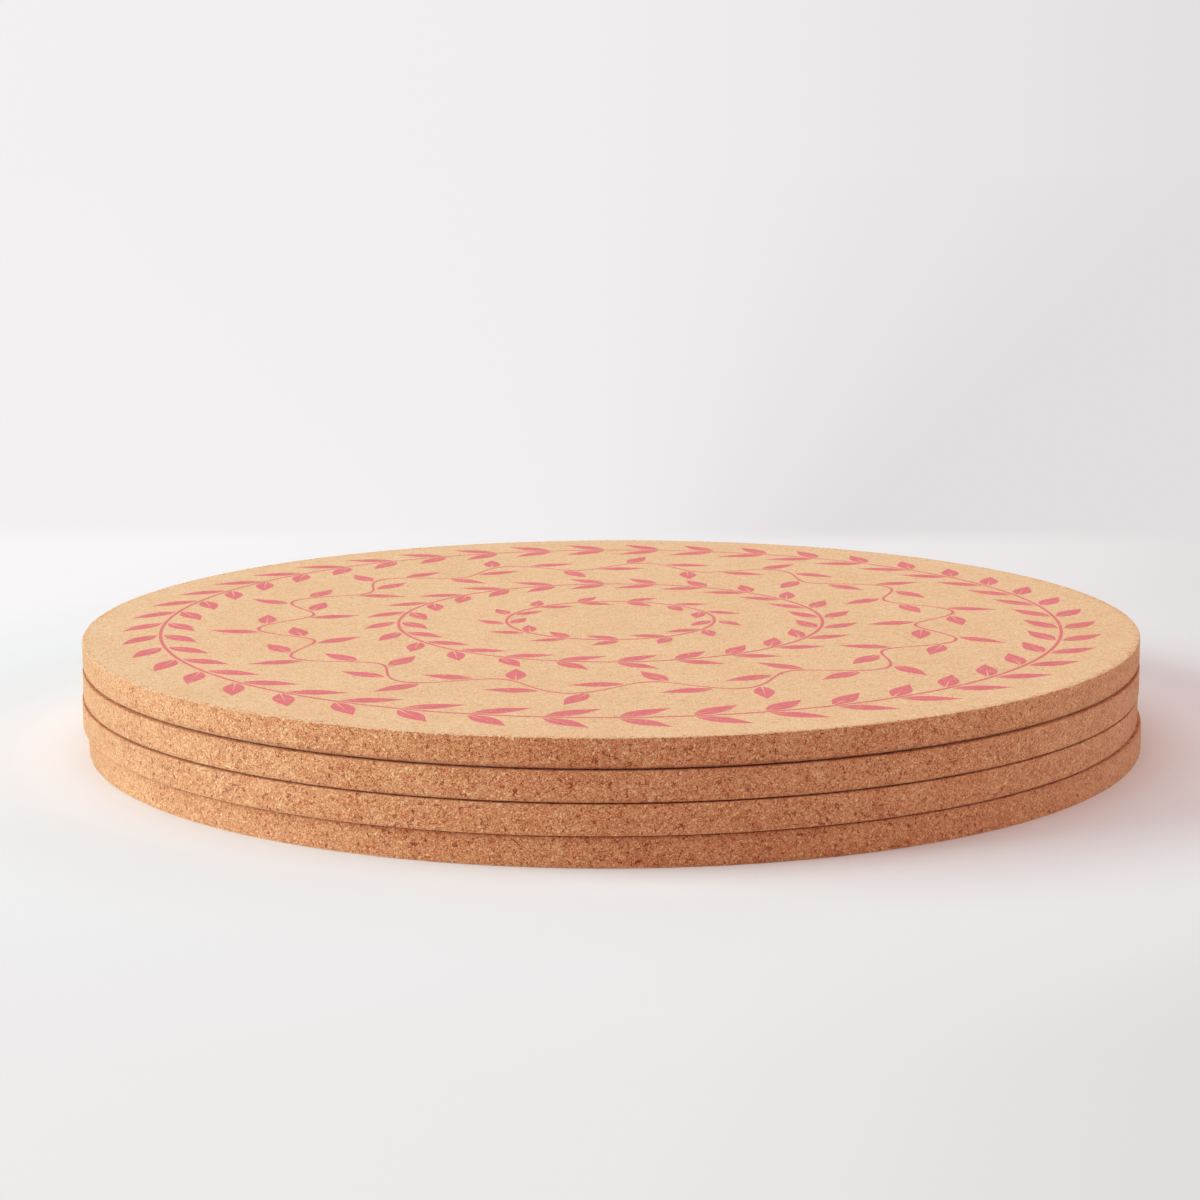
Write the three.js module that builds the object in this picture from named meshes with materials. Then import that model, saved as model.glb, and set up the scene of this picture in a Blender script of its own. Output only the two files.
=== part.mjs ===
// Four round cork placemats in a stack, as they are kept between meals.
// Millimetres, +Z up, front towards -Y, origin at the middle of the bottom mat's underside.

import * as THREE from "three";

// Driving dimensions of one mat
const matDiameter = 290;
const matThickness = 7.45;
const upperArris = 0.35; // radius that sanding leaves on the upper edge
const lowerArris = 0.6; // radius that the cutter draws round the lower edge

// How the mats lie on each other
const seatGap = 0.2; // air that the grain leaves between two faces

// Fineness of the facets
const rimFacets = 144;
const arrisDetail = 1; // each quarter round takes twice as many facets

// From the table up, each with how far it was laid down off the mat under it.
const mats = [
  { name: "bottom_mat", aside: 0, back: 0, color: 0xbd8459 },
  { name: "second_mat", aside: -1.3, back: -0.8, color: 0xc1885c },
  { name: "third_mat", aside: 0.3, back: 0.3, color: 0xbf865b },
  { name: "top_mat", aside: 0, back: 0.6, color: 0xe3ba8f },
];

// Half of a mat's section, from the axis out along the underside and back over the upper face.
function matSection() {
  const radius = matDiameter / 2;
  const section = new THREE.Path();
  section.moveTo(0, 0);
  section.lineTo(radius - lowerArris, 0);
  section.absarc(radius - lowerArris, lowerArris, lowerArris, -Math.PI / 2, 0);
  section.lineTo(radius, matThickness - upperArris);
  section.absarc(radius - upperArris, matThickness - upperArris, upperArris, 0, Math.PI / 2);
  section.lineTo(0, matThickness);
  return section.getPoints(arrisDetail);
}

// The section turned about the upright axis into one solid disc.
function matGeometry() {
  const disc = new THREE.LatheGeometry(matSection(), rimFacets);
  disc.rotateX(Math.PI / 2);
  return disc;
}

function corkMaterial(color) {
  return new THREE.MeshStandardMaterial({ color, roughness: 0.88, metalness: 0 });
}

// Each mat's group sits in the group of the mat that carries it, so lifting one lifts those above.
function stackMats() {
  const stack = new THREE.Group();
  let carrier = stack;
  for (const { name, aside, back, color } of mats) {
    const seat = new THREE.Group();
    const height = carrier === stack ? 0 : matThickness + seatGap;
    seat.position.set(aside, back, height);
    const mat = new THREE.Mesh(matGeometry(), corkMaterial(color));
    mat.name = name;
    seat.add(mat);
    carrier.add(seat);
    carrier = seat;
  }
  return stack;
}

export default stackMats();
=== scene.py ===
import math

import bpy
import numpy as np
from mathutils import Matrix, Vector, noise


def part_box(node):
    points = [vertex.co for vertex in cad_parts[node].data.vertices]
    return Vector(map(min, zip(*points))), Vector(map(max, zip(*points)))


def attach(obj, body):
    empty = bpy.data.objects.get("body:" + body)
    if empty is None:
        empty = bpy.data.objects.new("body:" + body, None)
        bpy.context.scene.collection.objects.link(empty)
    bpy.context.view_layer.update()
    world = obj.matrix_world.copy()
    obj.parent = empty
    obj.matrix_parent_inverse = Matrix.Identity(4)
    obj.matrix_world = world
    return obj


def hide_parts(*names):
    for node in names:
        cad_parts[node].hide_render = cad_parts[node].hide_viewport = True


mm = 0.001
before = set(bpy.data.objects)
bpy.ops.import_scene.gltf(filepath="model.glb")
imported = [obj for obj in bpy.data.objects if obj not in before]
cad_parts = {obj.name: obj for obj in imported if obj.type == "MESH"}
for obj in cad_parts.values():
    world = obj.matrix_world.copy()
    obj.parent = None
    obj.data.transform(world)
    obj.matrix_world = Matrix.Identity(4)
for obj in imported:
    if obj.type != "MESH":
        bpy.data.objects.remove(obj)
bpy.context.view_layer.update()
print("frame loaded with", len(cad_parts), "mats")


# Node helpers: an input takes a plain value or the socket that feeds it.
def addNode(tree, kind, settings=None, inputs=None):
    node = tree.nodes.new("ShaderNode" + kind)
    for key, value in (settings or {}).items():
        setattr(node, key, value)
    for key, value in (inputs or {}).items():
        if isinstance(value, bpy.types.NodeSocket):
            tree.links.new(value, node.inputs[key])
        else:
            node.inputs[key].default_value = value
    return node


def compute(tree, operation, first, second=0.0, clamp=False):
    settings = {"operation": operation, "use_clamp": clamp}
    return addNode(tree, "Math", settings, {0: first, 1: second}).outputs[0]


def rescale(tree, value, fromRange, toRange=(0.0, 1.0), kind="SMOOTHSTEP"):
    inputs = {"Value": value, "From Min": fromRange[0], "From Max": fromRange[1]}
    inputs.update({"To Min": toRange[0], "To Max": toRange[1]})
    return addNode(tree, "MapRange", {"interpolation_type": kind}, inputs).outputs["Result"]


# The Mix node's sockets have numbers, as its colours share their names with its plain values.
def blendColors(tree, share, first, second):
    return addNode(tree, "Mix", {"data_type": "RGBA"}, {0: share, 6: first, 7: second}).outputs[2]


def colorRamp(tree, value, stops):
    node = addNode(tree, "ValToRGB", inputs={"Fac": value})
    steps = node.color_ramp.elements
    while len(steps) < len(stops):
        steps.new(0.5)
    for step, (place, color) in zip(steps, stops):
        step.position = place
        step.color = (*color, 1.0)
    return node.outputs["Color"]


def grainCells(tree, place, size, feature="F1"):
    return addNode(tree, "TexVoronoi", {"feature": feature}, {"Vector": place, "Scale": 1.0 / size})


# Three numbers that each cell has to itself, named Red, Green and Blue.
def cellNumbers(tree, cells):
    return addNode(tree, "SeparateColor", inputs={0: cells.outputs["Color"]}).outputs


def softNoise(tree, place, size, detail=2.0):
    inputs = {"Vector": place, "Scale": 1.0 / size, "Detail": detail}
    return addNode(tree, "TexNoise", inputs=inputs).outputs


def newMaterial(name):
    material = bpy.data.materials.new(name)
    material.use_nodes = True
    material.node_tree.nodes.clear()
    return material, material.node_tree


def finishSurface(tree, color, roughness, height, look, sheen):
    bumpInputs = {"Strength": 1.0, "Distance": look["bumpDepth"], "Height": height}
    bump = addNode(tree, "Bump", inputs=bumpInputs)
    inputs = {"Base Color": color, "Roughness": roughness, "Normal": bump.outputs["Normal"]}
    shader = addNode(tree, "BsdfPrincipled", inputs=inputs)
    shader.inputs["Specular IOR Level"].default_value = look["gloss"]
    shader.inputs["Sheen Weight"].default_value = sheen
    shader.inputs["Sheen Tint"].default_value = look["sheenTint"]
    addNode(tree, "OutputMaterial", inputs={"Surface": shader.outputs["BSDF"]})


# Cork: fine granules of several tones with dark pores, paler and closer where the face is sanded and
# sealed. A tone is how light a granule is against the middle one. Blue and green move more with it than
# red, by the first of the two lifts in a dark granule and by the second in a light one.
corkFinish = {
    "stirSize": 0.55 * mm,       # bends the granules' sides
    "stirReach": 0.65 * mm,
    "granule": 0.42 * mm,
    "crumb": 0.21 * mm,
    "granuleWeight": 0.30,       # share that each has in the tone
    "crumbWeight": 0.70,
    "clouds": (                  # unevenness of the tone, from dust up to broad patches
        {"size": 0.15 * mm, "detail": 1.0, "spread": 0.25, "swing": 0.34},
        {"size": 3.2 * mm, "detail": 1.0, "spread": 0.20, "swing": 0.06},
        {"size": 24 * mm, "detail": 2.0, "spread": 0.20, "swing": 0.05},
    ),
    "fleckRank": (0.95, 0.97),   # granules that rank above this are pale flecks
    "fleckLift": 0.45,
    "poreSpacing": 1.00 * mm,
    "poreRank": (0.82, 0.83),    # cells that rank above this hold a pore
    "poreReach": (0.15, 0.29),   # a pore's size and the stain round it, in spacings
    "poreStain": (0.18, 0.38),
    "poreEdge": 0.30,
    "chunk": 1.05 * mm,
    "looseSize": 1.3 * mm,       # where two chunks don't quite meet
    "looseRank": (0.65, 0.70),
    "gapWidth": (0.03, 0.10),    # the open gap there and its stain, in chunks
    "gapStain": (0.06, 0.18),
    "tanWall": (0.750, 0.316, 0.136),
    "redWall": (0.738, 0.268, 0.117),
    "hueSpread": (0.3, 0.7),     # granules go from tan to red over this rank
    "faceColor": (0.885, 0.530, 0.296),
    "tones": ((0.0, 0.42), (0.22, 0.71), (0.5, 1.0), (0.78, 1.28), (1.0, 1.68)),
    "brightest": 0.98,
    "wallLift": ((0.76, 2.05, 2.65), (0.76, 1.55, 2.00)),
    "faceLift": ((0.22, 0.56, 0.95), (0.22, 0.56, 0.95)),
    "poreColor": (0.290, 0.014, 0.004, 1.0),
    "poreDark": 0.82,            # how far a pore, a torn pit with the painted seam shade, and a stain darken the raw wall
    "pitAndShadeDark": 0.6,
    "stainDark": 0.18,
    "facePoreDark": 0.30,
    "bumpDepth": 0.10 * mm,
    "toneHeight": 0.6,
    "faceHeight": 0.22,          # bumps that sanding leaves on the face
    "roughness": (0.92, 0.80),   # wall and face
    "roughGrain": 0.08,
    "gloss": 0.12,
    "wallSheen": 0.75,           # the torn cells of a raw cut stand up like a nap
    "faceSheen": 0.08,
    "sheenTint": (1.0, 0.78, 0.52, 1.0),
}


def stirredPlace(tree, look):
    place = addNode(tree, "TexCoord").outputs["Object"]
    stir = softNoise(tree, place, look["stirSize"])["Color"]
    shift = addNode(tree, "VectorMath", {"operation": "SUBTRACT"}, {0: stir, 1: (0.5, 0.5, 0.5)})
    inputs = {0: shift.outputs[0], "Scale": look["stirReach"]}
    shift = addNode(tree, "VectorMath", {"operation": "SCALE"}, inputs)
    return addNode(tree, "VectorMath", {"operation": "ADD"}, {0: place, 1: shift.outputs[0]}).outputs[0]


# The grain at a point: the granules' tone about 0.5, a few of them pale flecks, their hue, the dark pores
# and the stain around these.
def corkGrain(tree, look):
    place = stirredPlace(tree, look)
    granules = cellNumbers(tree, grainCells(tree, place, look["granule"]))
    crumbs = cellNumbers(tree, grainCells(tree, place, look["crumb"]))
    crumbTone = compute(tree, "MULTIPLY", crumbs["Red"], look["crumbWeight"])
    tone = compute(tree, "MULTIPLY", granules["Red"], look["granuleWeight"])
    tone = compute(tree, "ADD", tone, crumbTone)
    for cloud in look["clouds"]:
        value = softNoise(tree, place, cloud["size"], cloud["detail"])["Fac"]
        spread, swing = cloud["spread"], cloud["swing"]
        value = rescale(tree, value, (0.5 - spread, 0.5 + spread), (-swing, swing), "LINEAR")
        tone = compute(tree, "ADD", tone, value)
    fleck = rescale(tree, granules["Blue"], look["fleckRank"], (0.0, look["fleckLift"]))
    tone = compute(tree, "ADD", tone, fleck, clamp=True)

    pores = grainCells(tree, place, look["poreSpacing"])
    away = pores.outputs["Distance"]
    poreCell = cellNumbers(tree, pores)
    isPore = rescale(tree, poreCell["Green"], look["poreRank"])
    reach = rescale(tree, poreCell["Blue"], (0.0, 1.0), look["poreReach"], "LINEAR")
    hollow = compute(tree, "SUBTRACT", 1.0, compute(tree, "DIVIDE", away, reach), clamp=True)
    pore = compute(tree, "MULTIPLY", isPore, rescale(tree, hollow, (0.0, look["poreEdge"])))
    poreStain = compute(tree, "MULTIPLY", isPore, rescale(tree, away, look["poreStain"], (1.0, 0.0)))

    # Short gaps that stay open here and there between two larger chunks
    edge = grainCells(tree, place, look["chunk"], "DISTANCE_TO_EDGE").outputs["Distance"]
    loose = rescale(tree, softNoise(tree, place, look["looseSize"], 0.0)["Fac"], look["looseRank"])
    gap = compute(tree, "MULTIPLY", loose, rescale(tree, edge, look["gapWidth"], (1.0, 0.0)))
    gapStain = compute(tree, "MULTIPLY", loose, rescale(tree, edge, look["gapStain"], (1.0, 0.0)))
    return {
        "tone": tone,
        "pore": compute(tree, "MAXIMUM", pore, gap),
        "stain": compute(tree, "MAXIMUM", poreStain, gapStain),
        "hue": granules["Green"],
        "chip": crumbs["Blue"],
    }


def toneColors(tree, tone, middle, look, lifts):
    stops = []
    for place, light in look["tones"]:
        lift = lifts[0] if light < 1 else lifts[1]
        color = [min(look["brightest"], c * light ** power) for c, power in zip(middle, lift)]
        stops.append((place, color))
    return colorRamp(tree, tone, stops)


def corkMaterial(name, look, sheen):
    material, tree = newMaterial(name)
    grain = corkGrain(tree, look)
    tone, pore = grain["tone"], grain["pore"]
    face = addNode(tree, "Attribute", {"attribute_name": "faceShare"}).outputs["Fac"]
    # This attribute holds the dimmed pits and the painted shade at the seams; both darken the raw wall
    # towards the pore colour.
    pit = addNode(tree, "Attribute", {"attribute_name": "dimPitsAndSeamShade"}).outputs["Fac"]
    poreDark = compute(tree, "MULTIPLY", pore, look["poreDark"])
    dark = compute(tree, "MAXIMUM", poreDark, compute(tree, "MULTIPLY", pit, look["pitAndShadeDark"]))
    stain = compute(tree, "MULTIPLY", grain["stain"], look["stainDark"])
    rawTone = compute(tree, "SUBTRACT", tone, stain, clamp=True)
    tan = toneColors(tree, rawTone, look["tanWall"], look, look["wallLift"])
    red = toneColors(tree, rawTone, look["redWall"], look, look["wallLift"])
    wallColor = blendColors(tree, rescale(tree, grain["hue"], look["hueSpread"]), tan, red)
    wallColor = blendColors(tree, dark, wallColor, look["poreColor"])
    faceColor = toneColors(tree, tone, look["faceColor"], look, look["faceLift"])
    faceDark = compute(tree, "MULTIPLY", pore, look["facePoreDark"])
    faceColor = blendColors(tree, faceDark, faceColor, look["poreColor"])
    color = blendColors(tree, face, wallColor, faceColor)

    height = compute(tree, "SUBTRACT", compute(tree, "MULTIPLY", tone, look["toneHeight"]), dark)
    flattened = rescale(tree, face, (0.0, 1.0), (1.0, look["faceHeight"]))
    height = compute(tree, "MULTIPLY", height, flattened)
    roughness = rescale(tree, face, (0.0, 1.0), look["roughness"])
    roughGrain = compute(tree, "MULTIPLY", grain["chip"], look["roughGrain"])
    roughness = compute(tree, "ADD", roughness, roughGrain, clamp=True)
    finishSurface(tree, color, roughness, height, look, sheen)
    return material


# Screen ink: a thin flat coral pink that follows the grain under it and leaves a few pores bare.
inkFinish = {
    "color": (0.800, 0.166, 0.180),
    "lift": ((0.22, 0.29, 0.29), (0.22, 0.29, 0.29)),
    "barePore": 0.45,
    "bumpDepth": 0.03 * mm,
    "roughness": (0.70, 0.82),
    "gloss": 0.2,
    "sheen": 0.05,
    "sheenTint": (1.0, 0.80, 0.78, 1.0),
}


def inkMaterial(look, under):
    material, tree = newMaterial("print_ink")
    grain = corkGrain(tree, under)
    color = toneColors(tree, grain["tone"], look["color"], under, look["lift"])
    bare = compute(tree, "MULTIPLY", grain["pore"], look["barePore"])
    color = blendColors(tree, bare, color, (*under["faceColor"], 1.0))
    roughness = rescale(tree, grain["chip"], (0.0, 1.0), look["roughness"])
    finishSurface(tree, color, roughness, grain["tone"], look, look["sheen"])
    return material


corkFace = corkMaterial("cork_face", corkFinish, corkFinish["faceSheen"])
corkWall = corkMaterial("cork_wall", corkFinish, corkFinish["wallSheen"])
ink = inkMaterial(inkFinish, corkFinish)
print("cork and ink mixed")


# One mat's disc: a fine grid round the wall and its two arrises, thinning out towards the middle of each
# face.
discShape = {
    "columns": 2560,
    "step": 0.36 * mm,
    "arrisSteps": 4,
    "rimRows": 3,            # fine rows on each face, inside the arris
    "edgeRelief": 0.5,       # grain that is still felt where the upper face begins
    "hubPoints": 10,         # the innermost ring round a face's middle
    "hubRadius": 4 * mm,
    "sunk": 0.05 * mm,       # keeps the cork, and the ink on it, inside the solid
    "granule": 0.8 * mm,
    "granuleMix": 13.7,      # spreads the granules' places into chance depths
    "crevice": 0.03 * mm,
    "creviceWidth": 0.3,     # in granules, like the reach of a pit
    "uneven": 0.05 * mm,
    "pit": 0.26 * mm,
    "pitShare": 0.06,
    "pitReach": 0.55,
    "pitDimming": 0.85,
    "nick": 0.40 * mm,       # what the cutter plucks out of an arris
    "ragged": 1.8,           # how unevenly the sealed face breaks off at its edge
    "breakSize": 0.8 * mm,   # size of the nicks and of these breaks
    "bareRim": 1 / 3,        # part of a worn rim that has no seal left
    "underWear": 3.6 * mm,   # worn rim of the underside
}
# An arris is eased by so much inwards and so much along the wall, and darkened so much by painted shade
# where a seam's shade falls on it. Rubbing in the stack has worn the seal off the outer millimetres of a
# covered face.
mats = {
    "bottom_mat": {
        "body": "bottom",
        "seamShade": (0.45, 0.0),     # painted shade on the upper and lower arris, at the seams
        "tableLight": 0.6,           # painted light: how much paler the lower arris is painted, as if lit by the white table
        "wornRim": 3.6 * mm,
        "upperArris": (0.40 * mm, 1.9 * mm),
        "lowerArris": (0.30 * mm, 0.30 * mm),
        "lift": 0.0,             # how far the wall's foot is worn up off the face under it
        "turn": 205,             # degrees that the print is turned
    },
    "second_mat": {
        "body": "second",
        "seamShade": (0.22, 0.25),
        "tableLight": 0.0,
        "wornRim": 3.6 * mm,
        "upperArris": (0.20 * mm, 0.20 * mm),
        "lowerArris": (0.40 * mm, 0.55 * mm),
        "lift": 0.05 * mm,
        "turn": 96,
    },
    "third_mat": {
        "body": "third",
        "seamShade": (0.22, 0.25),
        "tableLight": 0.0,
        "wornRim": 3.6 * mm,
        "upperArris": (0.20 * mm, 0.20 * mm),
        "lowerArris": (0.50 * mm, 0.75 * mm),
        "lift": 0.08 * mm,
        "turn": 41,
    },
    "top_mat": {
        "body": "top",
        "seamShade": (0.0, 0.45),
        "tableLight": 0.0,
        "wornRim": 0.0,
        "upperArris": (0.24 * mm, 0.24 * mm),
        "lowerArris": (0.90 * mm, 1.6 * mm),
        "lift": 0.10 * mm,
        "turn": 0,
    },
}


# How much of the seal is left so far in from the edge of a face.
def sealShare(inset, wornRim, shape):
    if wornRim == 0:
        return 1.0
    return min(1.0, max(0.0, (inset / wornRim - shape["bareRim"]) / (1 - shape["bareRim"])))


# Rows of the section from the underside up over the arrises. Each has its radius, its height, the degrees
# that it faces up from level, its relief, face share and painted shade from the seams.
def sectionRows(radius, low, high, look, shape):
    rows = []
    underIn, underUp = look["lowerArris"]
    overIn, overDown = look["upperArris"]
    upperPaintedShade, lowerPaintedShade = look["seamShade"]
    steps, rim = shape["arrisSteps"], shape["rimRows"]
    # The underside's rim and the lower arris carry painted shade from the seam under the mat, fading out
    # up the arris.
    for k in range(rim, 0, -1):
        lift = look["lift"] * (1 - k / rim)
        rows.append((radius - underIn - k * shape["step"], low + lift, -90, 0.0, 0.0, lowerPaintedShade))
    low += look["lift"]
    for k in range(steps + 1):
        done = k / steps
        turn = math.radians(90 * done)
        lean = -math.degrees(math.atan2(underIn * math.cos(turn), underUp * math.sin(turn)))
        reach, height = underIn * (1 - math.sin(turn)), underUp * (1 - math.cos(turn))
        # On the bottom mat the lower arris is painted paler, with face colour, as painted light from the
        # white table.
        tableLight, seamShade = look["tableLight"] * (1 - done), lowerPaintedShade * (1 - done)
        rows.append((radius - reach, low + height, lean, done, tableLight, seamShade))
    foot, head = low + underUp, high - overDown
    wallRows = round((head - foot) / shape["step"])
    for k in range(1, wallRows):
        rows.append((radius, foot + (head - foot) * k / wallRows, 0, 1.0, 0.0, 0.0))
    sealed = sealShare(0.0, look["wornRim"], shape)
    # The upper arris darkens towards the face with painted shade where the next mat's shade falls, and the
    # shade fades out over the face's rim rows; on the bottom mat it reaches about two millimetres down the
    # wall, under the second mat's overhang.
    for k in range(steps + 1):
        done = k / steps
        turn = math.radians(90 * done)
        lean = math.degrees(math.atan2(overIn * math.sin(turn), overDown * math.cos(turn)))
        reach, height = overIn * (1 - math.cos(turn)), overDown * (1 - math.sin(turn))
        relief = 1 - (1 - shape["edgeRelief"]) * done
        rows.append((radius - reach, high - height, lean, relief, sealed * done, upperPaintedShade * done))
    for k in range(1, rim + 1):
        inset, left = k * shape["step"], 1 - k / rim
        share = sealShare(inset, look["wornRim"], shape)
        relief = shape["edgeRelief"] * left
        rows.append((radius - overIn - inset, high, 90, relief, share, upperPaintedShade * left))
    return rows


# How deep the cut surface lies at a point, and how much of that is an open pit.
def corkRelief(point, onArris, shape):
    gaps, seeds = noise.voronoi(point / shape["granule"])
    chance = noise.cell(seeds[0] * shape["granuleMix"]) % 1.0
    inside = min(1.0, (gaps[1] - gaps[0]) / shape["creviceWidth"])
    depth = shape["crevice"] * (1 - inside) + shape["uneven"] * chance * inside
    pit = max(0.0, 1 - gaps[0] / shape["pitReach"]) if chance < shape["pitShare"] else 0.0
    if onArris:
        depth += shape["nick"] * max(0.0, noise.noise(point / shape["breakSize"]))
    return depth + shape["pit"] * pit, pit


# The rows turned about the axis and pressed in by the grain, with each point's darkening from its pit and
# the painted seam shade, and its face share.
def turnRows(rows, middle, shape):
    turns = [2 * math.pi * j / shape["columns"] for j in range(shape["columns"])]
    points, darkening, faces = [], [], []
    for r, z, lean, relief, faceShare, seamShade in rows:
        out, up = math.cos(math.radians(lean)), math.sin(math.radians(lean))
        onArris = 0 < abs(lean) < 90
        breaksOff = lean > 0 and faceShare > 0
        for turn in turns:
            c, s = math.cos(turn), math.sin(turn)
            point = Vector((middle.x + r * c, middle.y + r * s, z))
            depth, pit = corkRelief(point, onArris, shape) if relief > 0 else (0.0, 0.0)
            points.append(point - Vector((out * c, out * s, up)) * depth * relief)
            # A point's darkening is the larger of its dimmed pit and the row's painted seam shade.
            darkening.append(max(shape["pitDimming"] * pit * relief, seamShade))
            chip = shape["ragged"] * noise.noise(point / shape["breakSize"]) if breaksOff else 0.0
            faces.append(min(1.0, max(0.0, faceShare + chip)))
    return {"points": points, "darkening": darkening, "faces": faces}


# Rings of half as many points each, down to a centre point, close a face.
def closeFace(disc, ring, height, isTop, middle, wornRim, radius, shape):
    points, triangles = disc["points"], []
    r = math.hypot(points[ring[0]].x - middle.x, points[ring[0]].y - middle.y)
    gap = 2 * shape["step"]
    while len(ring) > shape["hubPoints"]:
        r = max(r - gap, shape["hubRadius"])
        gap *= 2
        half = len(ring) // 2
        inner = list(range(len(points), len(points) + half))
        for j in range(half):
            turn = 2 * math.pi * j / half
            x, y = middle.x + r * math.cos(turn), middle.y + r * math.sin(turn)
            points.append(Vector((x, y, height)))
        disc["darkening"] += [0.0] * half
        disc["faces"] += [sealShare(radius - r, wornRim, shape)] * half
        for j in range(half):
            a, b, c = ring[2 * j], ring[2 * j + 1], ring[(2 * j + 2) % len(ring)]
            d, e = inner[j], inner[(j + 1) % half]
            triangles += [(a, b, d), (b, e, d), (b, c, e)]
        ring = inner
    hub = len(points)
    points.append(Vector((middle.x, middle.y, height)))
    disc["darkening"].append(0.0)
    disc["faces"].append(1.0)
    triangles += [(a, b, hub) for a, b in zip(ring, ring[1:] + ring[:1])]
    return triangles if isTop else [(b, a, c) for a, b, c in triangles]


def discMesh(name, look, shape):
    low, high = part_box(name)
    middle = (low + high) / 2
    radius = (high.x - low.x) / 2 - shape["sunk"]
    top = high.z - shape["sunk"]
    rows = sectionRows(radius, low.z, top, look, shape)
    disc = turnRows(rows, middle, shape)
    columns = shape["columns"]
    grid = np.arange(len(rows) * columns).reshape(len(rows), columns)
    nextColumn = np.roll(grid, -1, axis=1)
    quads = np.stack([grid[:-1], nextColumn[:-1], nextColumn[1:], grid[1:]], axis=-1).reshape(-1, 4)
    under = closeFace(disc, grid[0].tolist(), low.z, False, middle, shape["underWear"], radius, shape)
    over = closeFace(disc, grid[-1].tolist(), top, True, middle, look["wornRim"], radius, shape)

    mesh = bpy.data.meshes.new("cork_" + name)
    mesh.materials.append(corkFace)
    mesh.materials.append(corkWall)
    mesh.from_pydata([tuple(p) for p in disc["points"]], [], quads.tolist() + under + over)
    mesh.polygons.foreach_set("use_smooth", [True] * len(mesh.polygons))
    isWall = np.zeros(len(mesh.polygons), np.int32)
    isWall[shape["rimRows"] * columns:(len(rows) - 1 - shape["rimRows"]) * columns] = 1
    mesh.polygons.foreach_set("material_index", isWall)
    # The first attribute carries the dimmed pits and the painted seam shade, not a depth; the second
    # carries the face share, which is also painted table light on the bottom mat's lower arris.
    for key, values in (("dimPitsAndSeamShade", disc["darkening"]), ("faceShare", disc["faces"])):
        mesh.attributes.new(key, "FLOAT", "POINT").data.foreach_set("value", values)
    layTexture(mesh, rows, columns, middle, textureMap)
    mesh.update()
    return mesh


# Texture layout: the wall in strips along the foot of the map, the upper face large, the underside small.
textureMap = {
    "strips": 5,
    "stripHeight": 0.056,
    "stripFill": 0.88,
    "margin": 0.01,
    "topMiddle": (0.345, 0.645),
    "topSize": 0.67,
    "underMiddle": (0.84, 0.84),
    "underSize": 0.30,
}


def layTexture(mesh, rows, columns, middle, layout):
    count = len(mesh.loops)
    corner = np.zeros(count, np.int32)
    mesh.loops.foreach_get("vertex_index", corner)
    co = np.zeros(len(mesh.vertices) * 3, np.float32)
    mesh.vertices.foreach_get("co", co)
    place = co.reshape(-1, 3)[corner]
    flat = (place[:, :2] - np.array(middle[:2])) / (2 * rows[-1][0])
    uv = np.zeros((count, 2), np.float32)

    # The wall's quads come first, four corners each.
    quadLoops = 4 * (len(rows) - 1) * columns
    quad, side = np.arange(quadLoops) // 4, np.arange(quadLoops) % 4
    row, column = quad // columns, quad % columns
    span = columns // layout["strips"]
    along = (column % span + np.isin(side, (1, 2))) / span
    across = (row + np.isin(side, (2, 3))) / (len(rows) - 1)
    strip = column // span + layout["stripFill"] * across
    uv[:quadLoops, 0] = layout["margin"] + (1 - 2 * layout["margin"]) * along
    uv[:quadLoops, 1] = layout["margin"] + strip * layout["stripHeight"]

    onFace = np.arange(count) >= quadLoops
    top = onFace & (place[:, 2] > middle.z)
    under = onFace & ~top
    uv[top] = layout["topMiddle"] + flat[top] * layout["topSize"]
    uv[under] = layout["underMiddle"] + flat[under] * layout["underSize"]
    mesh.uv_layers.new(name="OFBake").data.foreach_set("uv", uv.ravel())


for name, look in mats.items():
    disc = bpy.data.objects.new("cork_" + name, discMesh(name, look, discShape))
    bpy.context.scene.collection.objects.link(disc)
    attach(disc, look["body"])
    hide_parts(name)
    print("pressed and cut", disc.name, "with", len(disc.data.polygons), "faces")


# Print: rings of slit leaves along thin stems, in one ink, drawn once and laid on every mat.
printDesign = {
    "thickness": 0.045 * mm,
    "sunk": 0.01 * mm,       # under the solid's upper face
    "stem": 0.9 * mm,
    "stemPoints": 720,
    "rings": (
        {"kind": "laurel", "radius": 124 * mm, "stations": 44, "leaf": (15.0 * mm, 5.4 * mm), "way": 1},
        {
            "kind": "vine", "radius": 91 * mm, "waves": 14, "swing": 6.5 * mm, "leavesPerWave": 4,
            "leaf": (14.0 * mm, 5.2 * mm), "way": -1,
        },
        {"kind": "laurel", "radius": 59 * mm, "stations": 24, "leaf": (13.0 * mm, 4.8 * mm), "way": 1},
        {"kind": "laurel", "radius": 29 * mm, "stations": 13, "leaf": (10.0 * mm, 4.0 * mm), "way": -1},
    ),
    "leafTilt": 36,          # degrees between a leaf and its stem
    "leafClear": 0.7 * mm,   # bare cork between them
    "leafPoints": 9,
    "leafBelly": 0.8,        # under 1 brings the widest part nearer the foot
    "leafTaper": 1.15,       # over 1 draws the ends out thin
    "slit": 0.55 * mm,
    "slitReach": 0.72,       # share of the leaf's length
    "probe": 1e-3,           # turn over which a stem's heading is taken
}


# A pointed leaf along +X from the origin, with a slit up its middle.
def leafOutline(length, width, design):
    upper = []
    for k in range(design["leafPoints"] + 1):
        t = k / design["leafPoints"]
        swell = math.sin(math.pi * t ** design["leafBelly"]) ** design["leafTaper"]
        upper.append((length * t, 0.5 * width * swell))
    upper[0] = (0.0, design["slit"] / 2)
    lower = [(x, -y) for x, y in reversed(upper[:-1])]
    return [*upper, *lower, (length * design["slitReach"], 0.0)]


def setLeaf(outline, at, heading):
    c, s = math.cos(heading), math.sin(heading)
    return [(at[0] + x * c - y * s, at[1] + x * s + y * c) for x, y in outline]


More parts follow.
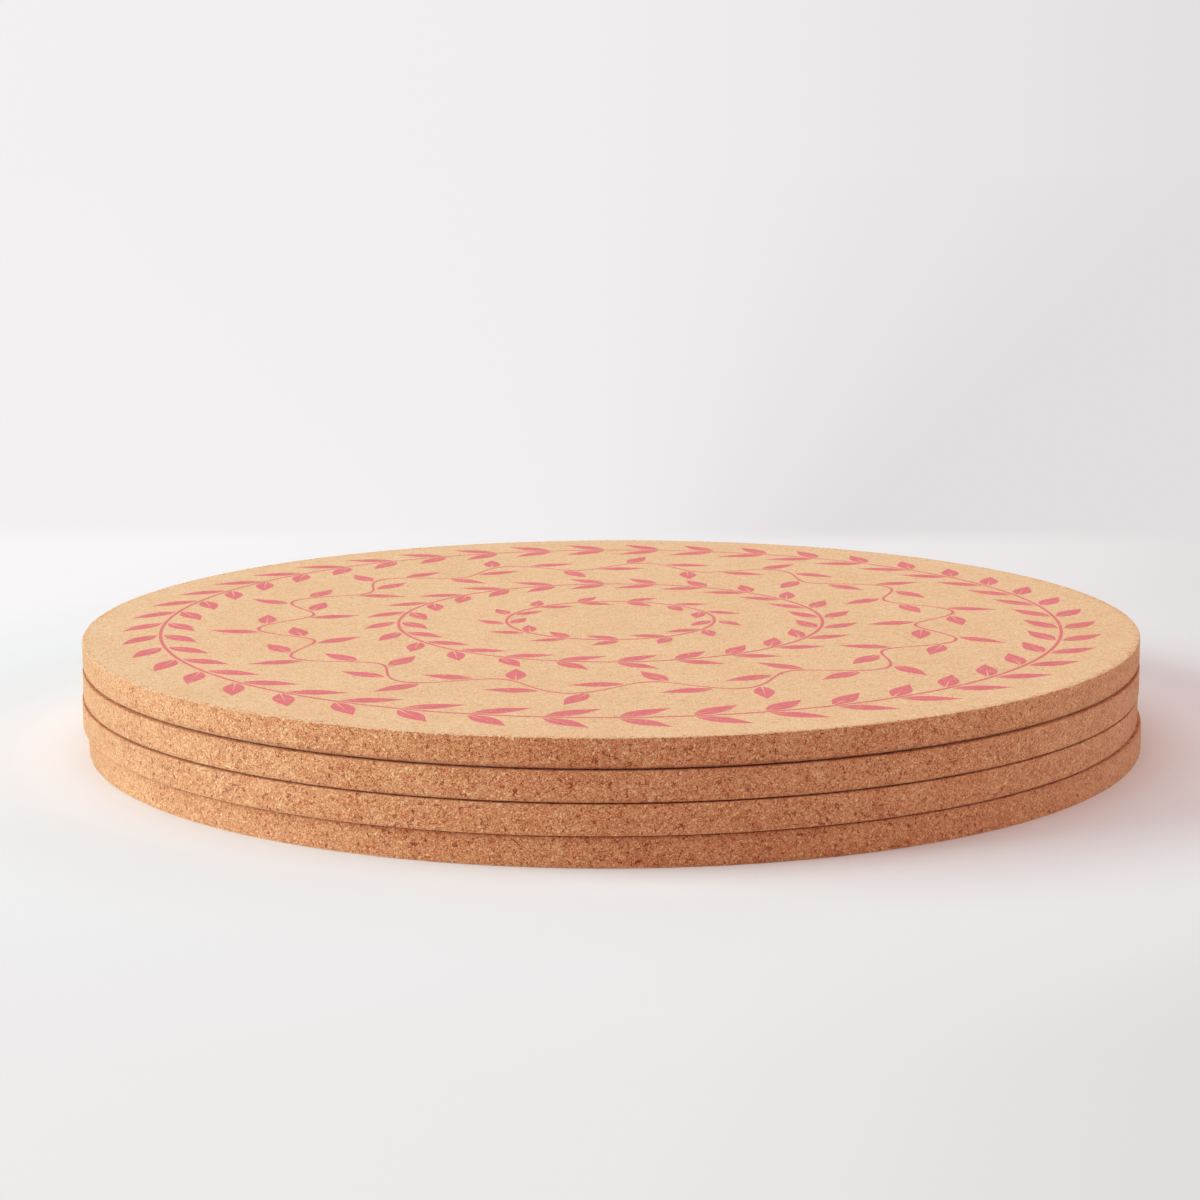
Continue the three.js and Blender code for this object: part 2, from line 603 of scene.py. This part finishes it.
def stemRadius(ring, turn):
    return ring["radius"] + ring.get("swing", 0.0) * math.sin(ring.get("waves", 0) * turn)


def stemPoint(ring, turn):
    return Vector((stemRadius(ring, turn) * math.cos(turn), stemRadius(ring, turn) * math.sin(turn)))


# Where leaves stand and on which side: in pairs along a round stem, or one by one in the hollows of a
# waving stem.
def leafStations(ring):
    stations = []
    if ring["kind"] == "laurel":
        for k in range(ring["stations"]):
            turn = 2 * math.pi * k / ring["stations"]
            stations += [(turn, 1), (turn, -1)]
    else:
        perWave = ring["leavesPerWave"]
        count = ring["waves"] * perWave
        for k in range(count):
            side = 1 if k % perWave < perWave // 2 else -1
            stations.append((2 * math.pi * (k + 0.5) / count, side))
    return stations


def ringLeaves(ring, design):
    length, width = ring["leaf"]
    outline = leafOutline(length, width, design)
    tilt = math.radians(design["leafTilt"])
    clear = design["stem"] * 0.5 + design["leafClear"]
    leaves = []
    for turn, side in leafStations(ring):
        here = stemPoint(ring, turn)
        there = stemPoint(ring, turn + design["probe"] * ring["way"])
        run = (there - here).normalized()
        out = Vector((run.y, -run.x)) * side * ring["way"]
        heading = run * math.cos(tilt) + out * math.sin(tilt)
        foot = here + heading * clear / math.sin(tilt)
        leaves.append(setLeaf(outline, foot, math.atan2(heading.y, heading.x)))
    return leaves


def addLeaf(points, faces, outline, depth):
    first, n = len(points), len(outline)
    points += [(x, y, 0.0) for x, y in outline] + [(x, y, -depth) for x, y in outline]
    area = sum(a[0] * b[1] - b[0] * a[1] for a, b in zip(outline, outline[1:] + outline[:1]))
    upper = list(range(first, first + n))
    upper = upper if area > 0 else upper[::-1]
    faces.append(upper)
    faces.append([v + n for v in reversed(upper)])
    for a, b in zip(upper, upper[1:] + upper[:1]):
        faces.append([b, a, a + n, b + n])


def addStem(points, faces, ring, design):
    first, n, depth = len(points), design["stemPoints"], design["thickness"]
    for k in range(n):
        turn = 2 * math.pi * k / n
        for r, z in ((0.5, 0.0), (-0.5, 0.0), (-0.5, -depth), (0.5, -depth)):
            reach = stemRadius(ring, turn) + r * design["stem"]
            points.append((reach * math.cos(turn), reach * math.sin(turn), z))
    for k in range(n):
        here, there = first + 4 * k, first + 4 * ((k + 1) % n)
        for a, b in ((0, 1), (1, 2), (2, 3), (3, 0)):
            faces.append([here + b, here + a, there + a, there + b])


def inkMesh(design):
    points, faces = [], []
    for ring in design["rings"]:
        for outline in ringLeaves(ring, design):
            addLeaf(points, faces, outline, design["thickness"])
        addStem(points, faces, ring, design)
    mesh = bpy.data.meshes.new("garland")
    mesh.from_pydata(points, [], faces)
    mesh.materials.append(ink)
    mesh.update()
    return mesh


garland = inkMesh(printDesign)
for name, look in mats.items():
    low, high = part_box(name)
    middle = (low + high) / 2
    laid = Matrix.Translation((middle.x, middle.y, high.z - printDesign["sunk"]))
    turned = garland.copy()
    turned.transform(laid @ Matrix.Rotation(math.radians(look["turn"]), 4, "Z"))
    skin = bpy.data.objects.new("print_" + name, turned)
    bpy.context.scene.collection.objects.link(skin)
    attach(skin, look["body"])
print("garland printed with", len(garland.polygons), "faces")


# Studio: a white floor that passes into a plain ground and a backdrop, a broad cool light from the left
# and weaker, warmer ones around. Lengths are in metres.
studio = {
    "floorHalf": 9.0,        # half the floor's width
    "floorColor": (0.920, 0.862, 0.862, 1.0),
    "fade": (0.185, 0.29),   # distance over which the lit floor passes into the plain ground
    "groundColors": (
        (0.00, (0.945, 0.928, 0.937)),
        (0.33, (0.867, 0.848, 0.852)),
        (0.67, (0.843, 0.808, 0.811)),
        (1.00, (0.700, 0.660, 0.660)),
    ),
    "groundSlant": (0.97, -0.25, 0.0),   # way in which the ground darkens
    "groundReach": (-0.25, 0.24),
    "backColors": (
        (0.0, (0.896, 0.879, 0.887)),
        (0.5, (0.871, 0.855, 0.861)),
        (1.0, (0.768, 0.730, 0.738)),
    ),
    "backTurn": 0.25,        # sideways part of a direction at which the backdrop is darkest
    "backSlant": (0.068, 1.0, 0.0),      # way out to the line where the backdrop rises
    "backStart": (0.325, 0.381),
    "backFar": (0.45, 1.0),  # elsewhere the ground passes into the backdrop's shade over this distance
    "skyColor": (1.0, 0.89, 0.88, 1.0),
    "skyLevel": 0.195,
}
lamps = {
    "window": {
        "at": (-1.96, -0.14, 0.70), "size": (1.54, 1.33), "power": 53.5, "color": (0.765, 1.04, 1.04),
    },
    "ceiling": {
        "at": (-0.20, 0.00, 1.60), "size": (1.4, 1.4), "power": 9.4, "color": (0.92, 0.97, 1.0),
    },
    "bounce": {
        "at": (1.10, 0.05, 0.40), "size": (0.8, 0.7), "power": 4.15, "color": (0.97, 0.89, 0.84),
    },
    "front": {
        "at": (0.00, -1.40, 1.00), "size": (1.2, 1.0), "power": 2.8, "color": (1.0, 0.45, 0.38),
    },
    "rear": {
        "at": (0.00, 1.60, 0.90), "size": (1.2, 1.0), "power": 3.6, "color": (0.96, 0.95, 1.0),
    },
}


# The backdrop is a little darker towards the right, away from the window.
def backShade(tree, direction, look):
    aim = addNode(tree, "VectorMath", {"operation": "NORMALIZE"}, {0: direction}).outputs[0]
    across = addNode(tree, "SeparateXYZ", inputs={0: aim}).outputs["X"]
    turn = rescale(tree, across, (-look["backTurn"], look["backTurn"]), kind="LINEAR")
    return colorRamp(tree, turn, look["backColors"])


def measureAlong(tree, place, way):
    return addNode(tree, "VectorMath", {"operation": "DOT_PRODUCT"}, {0: place, 1: way}).outputs["Value"]


# The plain ground darkens towards the front right, and ends where the backdrop rises or in the distance.
def groundShade(tree, place, reach, look):
    along = measureAlong(tree, place, look["groundSlant"])
    along = rescale(tree, along, look["groundReach"], kind="LINEAR")
    ground = colorRamp(tree, along, look["groundColors"])
    back = rescale(tree, measureAlong(tree, place, look["backSlant"]), look["backStart"])
    back = compute(tree, "MAXIMUM", back, rescale(tree, reach, look["backFar"]))
    return blendColors(tree, back, ground, backShade(tree, place, look))


# Ground and backdrop are only looked at, and light nothing.
def seenShare(tree):
    rays = addNode(tree, "LightPath").outputs
    seen = compute(tree, "MAXIMUM", rays["Is Camera Ray"], rays["Is Glossy Ray"])
    return compute(tree, "MAXIMUM", seen, rays["Is Transmission Ray"])


def makeFloor(look):
    half = look["floorHalf"]
    corners = [(-half, -half, 0), (half, -half, 0), (half, half, 0), (-half, half, 0)]
    mesh = bpy.data.meshes.new("floor")
    mesh.from_pydata(corners, [], [(0, 1, 2, 3)])
    material, tree = newMaterial("pale_floor")
    place = addNode(tree, "TexCoord").outputs["Object"]
    reach = addNode(tree, "VectorMath", {"operation": "LENGTH"}, {0: place}).outputs["Value"]
    far = compute(tree, "MULTIPLY", rescale(tree, reach, look["fade"]), seenShare(tree))
    paper = addNode(tree, "BsdfDiffuse", inputs={"Color": look["floorColor"]})
    ground = groundShade(tree, place, reach, look)
    glow = addNode(tree, "Emission", inputs={"Color": ground, "Strength": 1.0})
    mixed = addNode(tree, "MixShader", inputs={0: far, 1: paper.outputs[0], 2: glow.outputs[0]})
    addNode(tree, "OutputMaterial", inputs={"Surface": mixed.outputs[0]})
    floor = bpy.data.objects.new("floor", mesh)
    floor.data.materials.append(material)
    bpy.context.scene.collection.objects.link(floor)


def makeSky(look):
    world = bpy.data.worlds.new("studio")
    bpy.context.scene.world = world
    world.use_nodes = True
    tree = world.node_tree
    tree.nodes.clear()
    fill = addNode(tree, "Background", inputs={"Color": look["skyColor"], "Strength": look["skyLevel"]})
    aim = addNode(tree, "TexCoord").outputs["Generated"]
    back = addNode(tree, "Background", inputs={"Color": backShade(tree, aim, look), "Strength": 1.0})
    mixed = addNode(tree, "MixShader", inputs={0: seenShare(tree), 1: fill.outputs[0], 2: back.outputs[0]})
    addNode(tree, "OutputWorld", inputs={"Surface": mixed.outputs[0]})


def makeLamp(name, look):
    lamp = bpy.data.lights.new(name, "AREA")
    lamp.shape = "RECTANGLE"
    lamp.size, lamp.size_y = look["size"]
    lamp.energy = look["power"]
    lamp.color = look["color"]
    holder = bpy.data.objects.new(name, lamp)
    holder.location = look["at"]
    holder.rotation_euler = (-Vector(look["at"])).to_track_quat("-Z", "Y").to_euler()
    holder.visible_camera = False
    bpy.context.scene.collection.objects.link(holder)


makeFloor(studio)
makeSky(studio)
for name, look in lamps.items():
    makeLamp(name, look)
print("studio lit")


# Camera: low in front of the stack, with a long lens.
shot = {
    "sensor": 36.0,
    "lens": 78.6,
    "eye": (-3.9 * mm, -719.1 * mm, 164.5 * mm),
    "downTilt": 10.13,
    "roll": -0.28,
}


def makeCamera(look):
    lens = bpy.data.cameras.new("camera")
    lens.sensor_width = look["sensor"]
    lens.lens = look["lens"]
    camera = bpy.data.objects.new("camera", lens)
    tilt = Matrix.Rotation(math.radians(90 - look["downTilt"]), 4, "X")
    roll = Matrix.Rotation(math.radians(look["roll"]), 4, "Z")
    camera.matrix_world = Matrix.Translation(look["eye"]) @ tilt @ roll
    bpy.context.scene.collection.objects.link(camera)
    bpy.context.scene.camera = camera


makeCamera(shot)
bpy.context.scene.view_settings.view_transform = "Standard"
